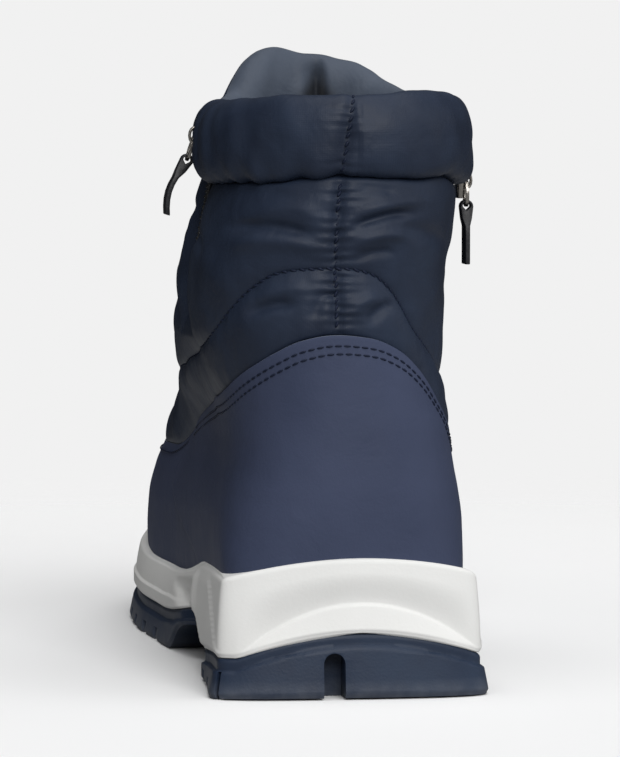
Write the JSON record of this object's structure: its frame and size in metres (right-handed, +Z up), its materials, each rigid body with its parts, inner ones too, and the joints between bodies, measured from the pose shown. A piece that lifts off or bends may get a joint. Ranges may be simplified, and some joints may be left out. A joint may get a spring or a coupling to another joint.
{
  "type": "winter boot",
  "caption": "Padded ankle-high winter boot for the right foot: quilted shaft with a rolled collar and side zips, smooth heel counter and toe guard, foam midsole and lugged outsole.",
  "frame": {"origin": "on the floor under the middle of the heel, on the outsole's heel tread", "axes": "+Z up, +Y from heel to toe, +X to the outer side of the right foot"},
  "size_m": [0.1062, 0.2872, 0.1928],
  "materials": {
    "quilted_nylon": "matt, slight sheen",
    "coated_leather": "matt",
    "foam": "matt",
    "rubber": "satin",
    "felt": "napped",
    "zip_tape": "woven",
    "gunmetal": "gunmetal plating",
    "strap": "matt"
  },
  "bodies": {
    "boot": {"outsole": "rubber", "midsole": "foam", "insole": "felt", "upper": "quilted_nylon", "heel_counter": "coated_leather", "toe_guard": "coated_leather", "collar_back": "quilted_nylon", "collar_front": "quilted_nylon", "zip_medial": "zip_tape", "zip_lateral": "zip_tape", "slider_medial": "gunmetal", "slider_lateral": "gunmetal"},
    "medial_pull": {"pull_medial": "gunmetal", "tab_medial": "strap"},
    "lateral_pull": {"pull_lateral": "gunmetal", "tab_lateral": "strap"}
  },
  "joints": [
    {"name": "medial_pull_swing", "type": "hinge", "parent": "boot", "child": "medial_pull", "pos_m": [-0.0417, 0.034, 0.1652], "axis": [0, 1, 0], "range_deg": [0, 120]},
    {"name": "lateral_pull_swing", "type": "hinge", "parent": "boot", "child": "lateral_pull", "pos_m": [0.04108, 0.023, 0.1515], "axis": [0, -1, 0], "range_deg": [0, 130]}
  ]
}
